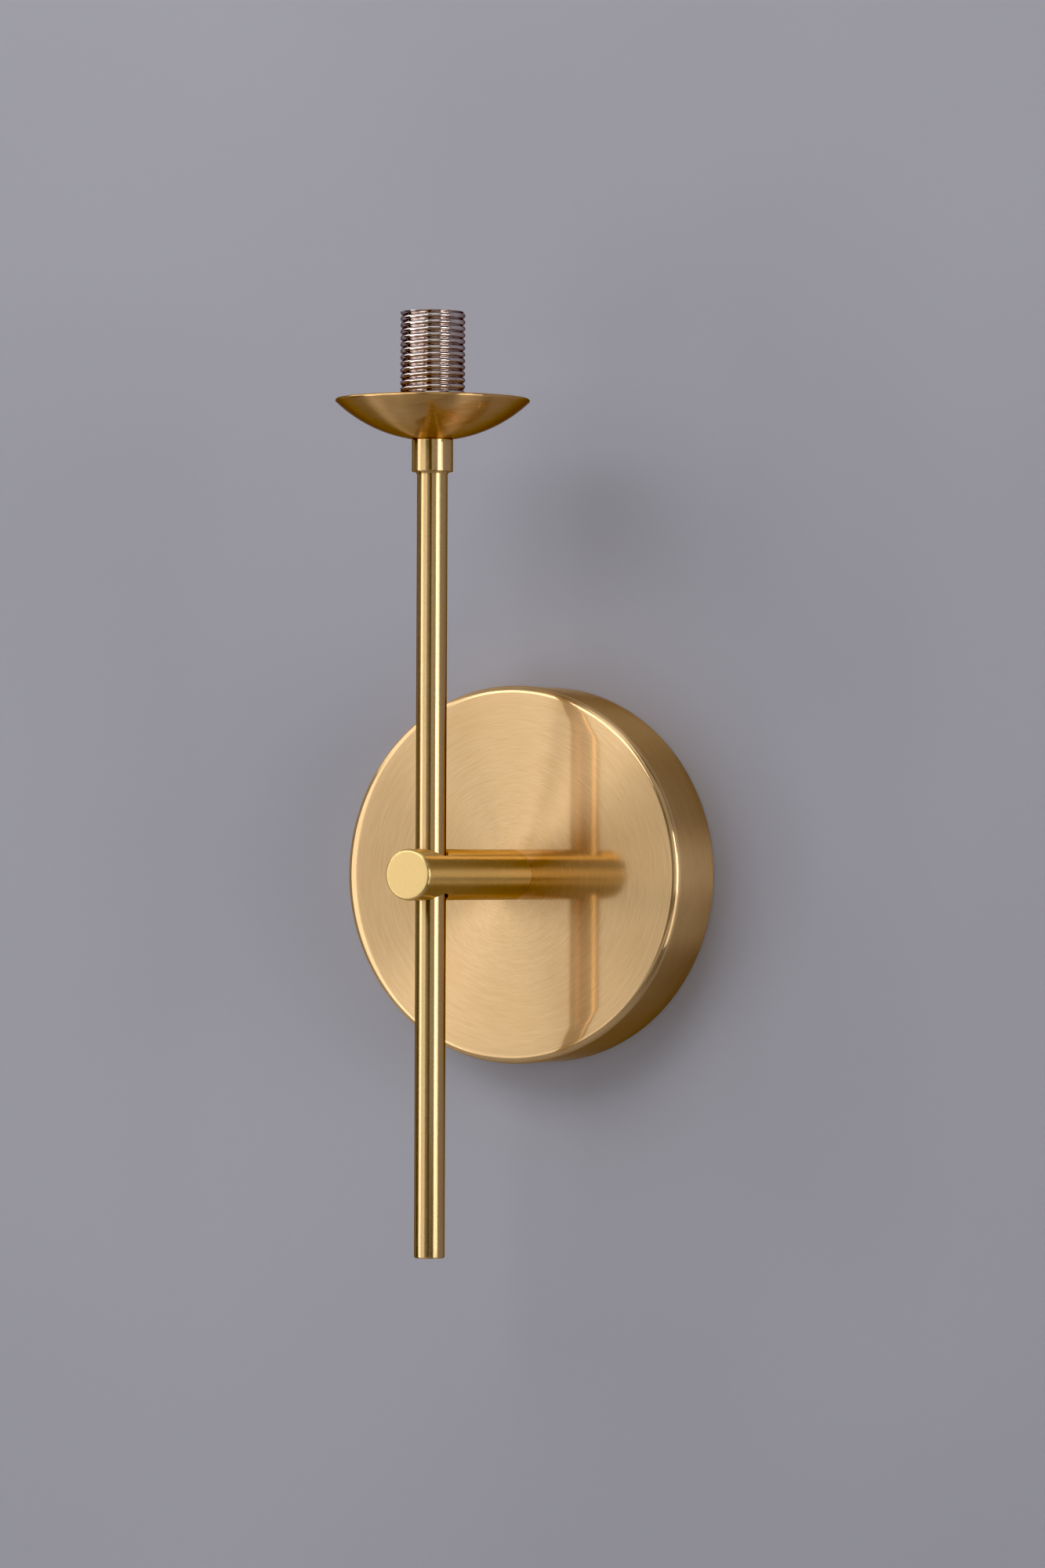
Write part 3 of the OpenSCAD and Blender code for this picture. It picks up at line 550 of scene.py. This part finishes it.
def make_cup():
    """Shallow spun cup: two arcs about one centre, a rounded rim and a flat floor inside."""
    seat_z = cup_low.z
    centre_z = seat_z + math.sqrt(CUP_CURVE_R ** 2 - COLLAR_R ** 2)
    middle = CUP_CURVE_R - CUP_SHEET / 2
    rim_angle = math.degrees(math.asin((CUP_R - CUP_SHEET / 2) / middle))
    seat_angle = math.degrees(math.asin(COLLAR_R / CUP_CURVE_R))
    inner_r = CUP_CURVE_R - CUP_SHEET
    floor_z = seat_z + CUP_SHEET
    inner_seat = math.degrees(math.acos((centre_z - floor_z) / inner_r))
    rim_x = middle * math.sin(math.radians(rim_angle))
    rim_z = centre_z - middle * math.cos(math.radians(rim_angle))
    profile = [(CUP_HOLE_R, seat_z)]
    profile += arc(0, centre_z, CUP_CURVE_R, seat_angle - 90, rim_angle - 90, 60)
    profile += arc(rim_x, rim_z, CUP_SHEET / 2, rim_angle - 90, rim_angle + 90, 12)[1:-1]
    profile += arc(0, centre_z, inner_r, rim_angle - 90, inner_seat - 90, 60)
    profile += [(CUP_HOLE_R, floor_z)]
    mesh = lathe_mesh("drip_cup", profile, to_place("Z", (0, STEM_Y, 0)))
    return new_piece("drip_cup", mesh, brass_cup)


def make_sleeve():
    """Shell with a rounded thread, welded to the flat floor it is clamped by."""
    low, high = sleeve_low.z, sleeve_high.z
    mesh = thread_mesh("sleeve_thread", SLEEVE_R, SLEEVE_THREAD, SLEEVE_PITCH, SLEEVE_BORE_R,
                       high - low - SLEEVE_FLOOR, to_place("Z", (0, STEM_Y, low + SLEEVE_FLOOR)),
                       lead_in=SLEEVE_PLAIN_H, sides=160, rows=16)
    root = SLEEVE_R - SLEEVE_THREAD
    chamfer = 0.5 * MM
    floor_disc = lathe_mesh("sleeve_floor", [
        (CUP_HOLE_R, 0), (root - chamfer, 0), (root, chamfer),
        (root, SLEEVE_FLOOR), (CUP_HOLE_R, SLEEVE_FLOOR),
    ], to_place("Z", (0, STEM_Y, low)), 160)
    bm = bmesh.new()
    bm.from_mesh(mesh)
    bm.from_mesh(floor_disc)
    bmesh.ops.remove_doubles(bm, verts=bm.verts, dist=0.001 * MM)
    bm.to_mesh(mesh)
    bm.free()
    return new_piece("sleeve_thread", mesh, nickel, 60)


def make_nipple(name, node, axis, major_r, bore_r):
    """Threaded tube with a fine thread along all its length."""
    low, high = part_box(node)
    if axis == "-Y":
        length, at = high.y - low.y, (0, high.y, 0)
    else:
        length, at = high.z - low.z, (0, STEM_Y, low.z)
    mesh = thread_mesh(name, major_r, FINE_DEPTH, FINE_PITCH, bore_r, length, to_place(axis, at),
                       lead_in=0, sides=96, rows=8, crest=1.6)
    return new_piece(name, mesh, thread_zinc, 50)


WIRE_R = 1.0 * MM
# routes of the leads, in millimetres
LEAD_X = 1.2
TURN_R = 6
STEM_Y_MM = STEM_Y / MM
LIVE_START = [
    (-24, -7, 9), (-20, -7, 9), (-16, -6.2, 8.8), (-12, -5.4, 7.6), (-8, -5, 6),
    (-5, -5.6, 4.2), (-2.8, -7.6, 2.2), (-1.6, -10.5, 0.7), (-1.2, -14, 0),
]
NEUTRAL_START = [
    (-24, -7, -9), (-20, -7, -9), (-16, -6.2, -9), (-11, -5.4, -8.4), (-6, -5, -6.8),
    (-2, -5.6, -4.6), (0.4, -7.6, -2.4), (1.2, -10.5, -0.8), (1.2, -14, 0),
]
EARTH_ROUTE = [
    (-24, -7, 0), (-20.5, -7, 0), (-18, -7.6, -1), (-16.4, -9.4, -3.4), (-16, -12, -6.8),
    (-16.4, -15, -10.4), (-16.6, -18, -13.2), (-15.6, -20, -14.4), (-13.8, -20.6, -13.4),
    (-12, -20.6, -11.6), (-9.6, -20.6, -9.2),
]


def lead_run(side):
    """Along the arm, up the stem and out to one contact, in millimetres."""
    nipple_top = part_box("cup_nipple")[1].z / MM
    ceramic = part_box("ceramic_holder")[0].z / MM
    x, y = side * LEAD_X, STEM_Y_MM
    run = [(x, -30, 0), (x, y + TURN_R, 0)]
    for degrees in range(15, 90, 15):
        a = math.radians(degrees)
        run.append((x, y + TURN_R * (1 - math.sin(a)), TURN_R * (1 - math.cos(a))))
    run += [(x, y, TURN_R), (x, y, upper_high.z / MM), (x, y, nipple_top), (side * 1.4, y, nipple_top + 1),
            (side * 2.6, y, nipple_top + 3), (side * 3.9, y, ceramic - 2), (side * 4.5, y, ceramic),
            (side * 4.5, y, ceramic + 2.5)]
    return run


def smooth_route(points, step):
    """Catmull-Rom curve through the points, as vectors in metres."""
    points = [Vector(p) * MM for p in points]
    padded = [2 * points[0] - points[1]] + points + [2 * points[-1] - points[-2]]
    out = []
    for p0, p1, p2, p3 in zip(padded, padded[1:], padded[2:], padded[3:]):
        span = (p2 - p1).length
        if span > 12 * MM:
            out += [p1.lerp(p2, t / 4) for t in range(4)]
            continue
        steps = max(1, round(span / step))
        for i in range(steps):
            t = i / steps
            a = (p2 - p0) * 0.5
            b = (p3 - p1) * 0.5
            near = 2 * t ** 3 - 3 * t ** 2 + 1
            leave, arrive = t ** 3 - 2 * t ** 2 + t, t ** 3 - t ** 2
            out.append(p1 * near + a * leave + p2 * (1 - near) + b * arrive)
    return out + [points[-1]]


def make_wire(name, points, material, sides=20):
    """Round insulated lead swept along a smooth route, with a UV that runs round it."""
    route = smooth_route(points, 0.8 * MM)
    bm = bmesh.new()
    uv_layer = bm.loops.layers.uv.new("UVMap")
    rings = []
    side = Vector((0, 0, 1))
    for i, point in enumerate(route):
        heading = (route[min(i + 1, len(route) - 1)] - route[max(i - 1, 0)]).normalized()
        side = (side - side.dot(heading) * heading).normalized()
        other = heading.cross(side)
        rings.append([
            bm.verts.new(point + WIRE_R * (math.cos(2 * math.pi * k / sides) * side
                                           + math.sin(2 * math.pi * k / sides) * other))
            for k in range(sides)
        ])
    for one, two in zip(rings, rings[1:]):
        for k in range(sides):
            face = bm.faces.new([one[k], one[(k + 1) % sides], two[(k + 1) % sides], two[k]])
            for loop, u in zip(face.loops, (k, k + 1, k + 1, k)):
                loop[uv_layer].uv = (u / sides, 0)
    bm.faces.new(rings[0])
    bm.faces.new(rings[-1])
    bmesh.ops.recalc_face_normals(bm, faces=bm.faces)
    mesh = bpy.data.meshes.new(name)
    bm.to_mesh(mesh)
    bm.free()
    return new_piece(name, mesh, material)


stand_for(make_canopy(), "canopy")
stand_for(make_arm(), "arm")
stand_for(make_stem("stem_tube_upper", upper_low.z, upper_high.z, 0.05 * MM, 0.2 * MM), "upper_stem")
stand_for(make_stem("stem_tube_lower", lower_low.z, lower_high.z, 0.5 * MM, 0.05 * MM), "lower_stem")
stand_for(make_collar(), "collar")
stand_for(make_cup(), "cup")
stand_for(make_sleeve(), "threaded_sleeve")
stand_for(make_nipple("canopy_nipple_thread", "arm_nipple", "-Y", M10_R, M10_BORE_R), "arm_nipple")
stand_for(make_nipple("cup_nipple_thread", "cup_nipple", "Z", M8_R, M8_BORE_R), "cup_nipple")
stand_for(make_wire("lead_live", LIVE_START + lead_run(-1), brown_wire), "live_wire")
stand_for(make_wire("lead_neutral", NEUTRAL_START + lead_run(1), blue_wire), "neutral_wire")
stand_for(make_wire("lead_earth", EARTH_ROUTE, earth_wire_skin), "earth_wire")


# ---------- stage ----------

WALL_GAP = 0.1 * MM
WALL_SIDES = 96
WALL_HOLE_R = CANOPY_R - 0.8 * MM
WALL_R = 1.1
FLOOR_Z = -1.3


def stage_piece(name, points, faces, material):
    """Part of the room, which is no part of the object."""
    mesh = bpy.data.meshes.new(name)
    mesh.from_pydata(points, [], faces)
    piece = bpy.data.objects.new(name, mesh)
    bpy.context.scene.collection.objects.link(piece)
    mesh.materials.append(material)


def wall_ring(r):
    """Corners of a circle on the wall."""
    angles = [2 * math.pi * k / WALL_SIDES for k in range(WALL_SIDES)]
    return [(r * math.cos(a), WALL_GAP, r * math.sin(a)) for a in angles]


def wall_paint():
    """Matt grey wall, seen only from its front, so that the light's back can be looked at."""
    nodes = Nodes("wall_paint")
    position = nodes.position()
    cloud = nodes.noise(position, 3.0, 2.0)
    tone = nodes.mix(nodes.map(cloud, 0.3, 0.7, 0.0, 1.0), (0.375, 0.372, 0.42, 1), (0.415, 0.412, 0.46, 1))
    nodes.set(Base_Color=tone, Roughness=0.9, Specular_IOR_Level=0.1)
    nodes.bump(nodes.noise(position, 900, 2.0), 0.05, 0.2 * MM)
    clear = nodes.add("ShaderNodeBsdfTransparent")
    facing = nodes.add("ShaderNodeNewGeometry").outputs["Backfacing"]
    chooser = nodes.add("ShaderNodeMixShader")
    nodes.join(facing, chooser.inputs[0])
    nodes.join(nodes.shader.outputs[0], chooser.inputs[1])
    nodes.join(clear.outputs[0], chooser.inputs[2])
    nodes.join(chooser.outputs[0], nodes.out.inputs["Surface"])
    return nodes.material


def floor_paint():
    """Pale, plain floor."""
    nodes = Nodes("floor_paint")
    cloud = nodes.noise(nodes.position(), 4.0, 3.0)
    nodes.set(Base_Color=nodes.mix(cloud, (0.62, 0.62, 0.63, 1), (0.68, 0.68, 0.69, 1)), Roughness=0.6)
    return nodes.material


# the wall is open inside the canopy's rim, where the wiring comes through
wall_faces = []
for k in range(WALL_SIDES):
    following = (k + 1) % WALL_SIDES
    wall_faces.append((k, WALL_SIDES + k, WALL_SIDES + following, following))
stage_piece("wall", wall_ring(WALL_HOLE_R) + wall_ring(WALL_R), wall_faces, wall_paint())
stage_piece(
    "floor", [(-4, -5, FLOOR_Z), (4, -5, FLOOR_Z), (4, 4, FLOOR_Z), (-4, 4, FLOOR_Z)], [(0, 1, 2, 3)],
    floor_paint())


def area_light(name, location, facing, width, height, radiance):
    """Rectangular light that shines along -facing."""
    data = bpy.data.lights.new(name, "AREA")
    data.shape = "RECTANGLE"
    data.size = width
    data.size_y = height
    data.energy = radiance * math.pi * width * height
    light = bpy.data.objects.new(name, data)
    light.location = location
    light.rotation_mode = "QUATERNION"
    light.rotation_quaternion = facing.to_track_quat("Z", "Y")
    bpy.context.scene.collection.objects.link(light)


LIGHT_TARGET_Z = 20 * MM


def softbox(name, azimuth, elevation, width, height, radiance, distance=1.4):
    """Light aimed at the object. Azimuth 0 is straight in front, positive towards +X."""
    a, e = math.radians(azimuth), math.radians(elevation)
    towards = Vector((math.sin(a) * math.cos(e), -math.cos(a) * math.cos(e), math.sin(e)))
    target = Vector((0, STEM_Y / 2, LIGHT_TARGET_Z))
    area_light(name, target + towards * distance, towards, width, height, radiance)


# brightness of the lights, from the edge light on the right down to the faintest fill
RIM = 4.0
KEY = 3.0
SIDE = 2.0
SOFT = 1.5
TOP = 1.0
FILL = 0.8
FAINT = 0.4

softbox("softbox_high", -17, 30, 1.15, 0.62, KEY)
softbox("softbox_left", -50, -7, 0.45, 1.3, SIDE)
softbox("softbox_front", -25, -7, 0.85, 1.3, FILL)
softbox("softbox_far_left", -85, 30, 0.45, 0.6, SIDE)
softbox("softbox_upper_left", -60, 30, 0.75, 0.6, SOFT)
softbox("softbox_top", 25, 60, 0.9, 0.75, TOP)
softbox("softbox_right", 68, 5, 0.42, 0.62, RIM)
softbox("softbox_right_high", 50, 30, 1.3, 0.62, FAINT)
softbox("softbox_right_low", 75, -20, 0.8, 0.6, SOFT)
softbox("softbox_front_right", 42, 5, 0.85, 0.6, FAINT)
softbox("softbox_edge", 83, 0, 0.3, 0.45, SIDE)
softbox("softbox_back", 176, 10, 0.7, 0.7, SOFT, 0.8)
area_light("floor_light", (0, -4.1, -0.4), Vector((0, 0, 1)), 8.0, 2.4, 1.0)


def make_world():
    """Dim warm room for the metal, behind which the camera sees a paler one."""
    world = bpy.data.worlds.new("studio")
    world.use_nodes = True
    tree = world.node_tree
    dim = tree.nodes["Background"]
    pale = tree.nodes.new("ShaderNodeBackground")
    dim.inputs["Color"].default_value = (1.0, 0.88, 0.80, 1)
    dim.inputs["Strength"].default_value = 0.03
    pale.inputs["Color"].default_value = (0.96, 0.96, 1.0, 1)
    pale.inputs["Strength"].default_value = 0.42
    seen = tree.nodes.new("ShaderNodeLightPath")
    chooser = tree.nodes.new("ShaderNodeMixShader")
    tree.links.new(seen.outputs["Is Camera Ray"], chooser.inputs[0])
    tree.links.new(dim.outputs[0], chooser.inputs[1])
    tree.links.new(pale.outputs[0], chooser.inputs[2])
    tree.links.new(chooser.outputs[0], tree.nodes["World Output"].inputs["Surface"])
    bpy.context.scene.world = world


make_world()
view = bpy.context.scene.view_settings
view.view_transform = "Standard"
view.look = "None"
# deeper blacks, as in a contrasty studio print
view.use_curve_mapping = True
view.curve_mapping.black_level = (0.023, 0.023, 0.023)
view.curve_mapping.update()

# ---------- camera ----------

CAMERA_PLACE = (0.9333, -1.7220, 0.0051)
YAW, PITCH, ROLL = (math.radians(x) for x in (28.69, 0.70, 0.22))
forward = Vector((-math.sin(YAW) * math.cos(PITCH), math.cos(YAW) * math.cos(PITCH), math.sin(PITCH)))
right = Vector((math.cos(YAW), math.sin(YAW), 0))
up = right.cross(forward)
camera_right = right * math.cos(ROLL) + up * math.sin(ROLL)
camera_up = up * math.cos(ROLL) - right * math.sin(ROLL)
camera_data = bpy.data.cameras.new("camera")
camera_data.sensor_width = 36
camera_data.lens = 140.15
camera_data.clip_start = 0.05
camera = bpy.data.objects.new("camera", camera_data)
camera.matrix_world = Matrix.Translation(CAMERA_PLACE) @ Matrix(
    (camera_right, camera_up, -forward)).transposed().to_4x4()
bpy.context.scene.collection.objects.link(camera)
bpy.context.scene.camera = camera
